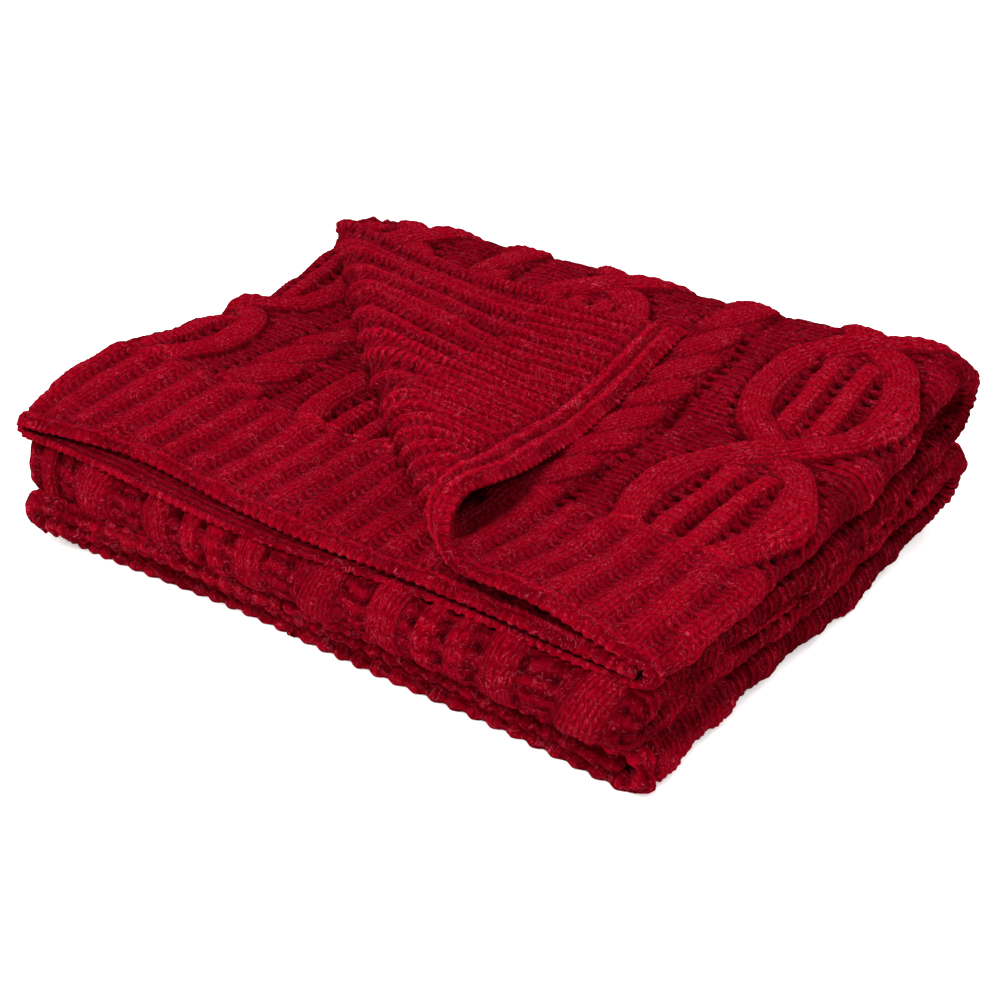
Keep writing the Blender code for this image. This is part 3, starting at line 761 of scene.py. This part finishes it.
def open_top(u, s):
    """Where nothing of the turned corner lies on the layer."""
    if u > CORNER_WIDE or s > TOP_LOOP_FROM - 0.02:
        return True
    beyond = roll_place(u, s)[1]
    over_u = u + ROLL_OUT[0] * (ROLL_TAKES - 2 * beyond)
    over_s = s + ROLL_OUT[1] * (ROLL_TAKES - 2 * beyond)
    return over_u < 0.02 or over_s < 0.02 or s < 0.05


knit_piece("throw_top_layer", (0.0, RIGHT_CUT), (0.0, FIRST_CUT), kept=beside_corner, face=open_top)

# The middle layer of the three, bare where the corner is turned back. It is the same knit, and the
# left-hand fold, which is part of this piece, joins it to the lowest layer.
LEFT_FOLD_FROM = 0.83


def under_corner(u, s):
    """The fold, the end, and what lay under the corner before it was turned back."""
    same_u = TURN_LEFT_X + u - MIDDLE_START - TOP_EDGE_X
    return u < MIDDLE_START or roll_place(same_u, s)[1] > -0.015 or s < 0.012


knit_piece("throw_middle_layer", (LEFT_FOLD_FROM, WIDTH), (0.0, FIRST_CUT), face=under_corner)

# The lowest of the three layers, of the same knit. Only its end shows, under the other two, and the
# back of the right-hand fold, which joins it to the top layer.
RIGHT_FOLD = (0.408, 0.455)


def low_end_shows(u, s):
    """The end at the front, and the fold near the back."""
    return s < 0.022 or u < RIGHT_FOLD[1] and s > 0.27


knit_piece("throw_lowest_layer", (RIGHT_CUT, LEFT_FOLD_FROM), (0.0, FIRST_CUT), face=low_end_shows)

# The second and third panels, between the outer ones. The sheet turns from one to the other at the
# front, where its lowest layer is outside and bulges. Only that turn and the side folds show.
SECOND_CUT = 0.94
INNER_FROM = 0.40
INNER_TO = 0.88


def in_side_folds(u):
    """The folds at the right and at the left."""
    left = LOW_END - 0.012 < u < MIDDLE_START + 0.010
    return left or RIGHT_FOLD[0] < u < RIGHT_FOLD[1]


def second_panels_show(u, s):
    """The side folds and the turn at the front."""
    bulge = RIGHT_CUT < u < LEFT_FOLD_FROM and FRONT_FROM - 0.018 < s < FRONT_TO + 0.018
    return in_side_folds(u) or bulge


knit_piece("throw_front_bulge", (INNER_FROM, INNER_TO), (FIRST_CUT, SECOND_CUT), face=second_panels_show)
knit_piece("throw_inner_top_layer", (0.0, INNER_FROM), (FIRST_CUT, SECOND_CUT))
knit_piece("throw_inner_middle_layer", (INNER_TO, WIDTH), (FIRST_CUT, SECOND_CUT))

# The last panel, at the bottom, which the stack rests on. The lower back loop joins it to the third
# panel, and its cast-off ends lie at the front. It is mostly in shade, so it is cut a little coarser.
BOTTOM_CUTS = 7


def cast_off_end(u, s):
    """The last 18 mm of the sheet, with its chained end."""
    return s > LENGTH - 0.018


def last_panel_shows(u, s):
    """The side folds, the outside of the lower back loop and the cast-off end."""
    loop = u < TOP_WIDE and s < LOW_LOOP_TO + 0.01
    return in_side_folds(u) or loop or cast_off_end(u, s)


knit_piece(
    "throw_bottom_panel", (0.0, RIGHT_CUT), (SECOND_CUT, LENGTH),
    face=last_panel_shows, reverse=cast_off_end, cuts=BOTTOM_CUTS)
knit_piece(
    "throw_bottom_inner_layers", (RIGHT_CUT, WIDTH), (SECOND_CUT, LENGTH),
    face=last_panel_shows, reverse=cast_off_end, cuts=BOTTOM_CUTS)


# The studio: a broad soft light from above and in front, weaker ones from the left and from behind,
# and white all round.
def area_light(name, place, aim, size, power):
    """A round light of this size in metres and power in watts, turned to where it is aimed."""
    lamp = bpy.data.lights.new(name, "AREA")
    lamp.shape = "DISK"
    lamp.size = size
    lamp.energy = power
    holder = bpy.data.objects.new(name, lamp)
    holder.location = place
    holder.rotation_euler = (Vector(aim) - Vector(place)).to_track_quat("-Z", "Y").to_euler()
    bpy.context.scene.collection.objects.link(holder)


area_light("key", (0.2, -0.9, 1.5), (0, 0, 0.05), 0.9, 26)
area_light("fill", (-1.4, -0.5, 1.0), (0, 0, 0.05), 1.2, 10)
area_light("back", (0.6, 1.3, 1.1), (0, 0, 0.08), 0.8, 12)
world = bpy.data.worlds.new("white studio")
bpy.context.scene.world = world
world.use_nodes = True
world.node_tree.nodes["Background"].inputs["Color"].default_value = (1.0, 1.0, 1.0, 1.0)
world.node_tree.nodes["Background"].inputs["Strength"].default_value = 1.0
bpy.context.scene.view_settings.view_transform = "Standard"

# The camera: above the front left of the throw, as in the photo.
TURNED = math.radians(37.5)
DOWN = math.radians(28.01)
DISTANCE = 0.9202
TARGET = Vector((0.0307, -0.0310, 0.040))
LENS = 61.85
SENSOR_WIDTH = 36.0
camera = bpy.data.objects.new("camera", bpy.data.cameras.new("camera"))
bpy.context.scene.collection.objects.link(camera)
away = Vector((math.sin(TURNED) * math.cos(DOWN), -math.cos(TURNED) * math.cos(DOWN), math.sin(DOWN)))
camera.location = TARGET + away * DISTANCE
camera.rotation_euler = (-away).to_track_quat("-Z", "Y").to_euler()
camera.data.sensor_width = SENSOR_WIDTH
camera.data.lens = LENS
bpy.context.scene.camera = camera
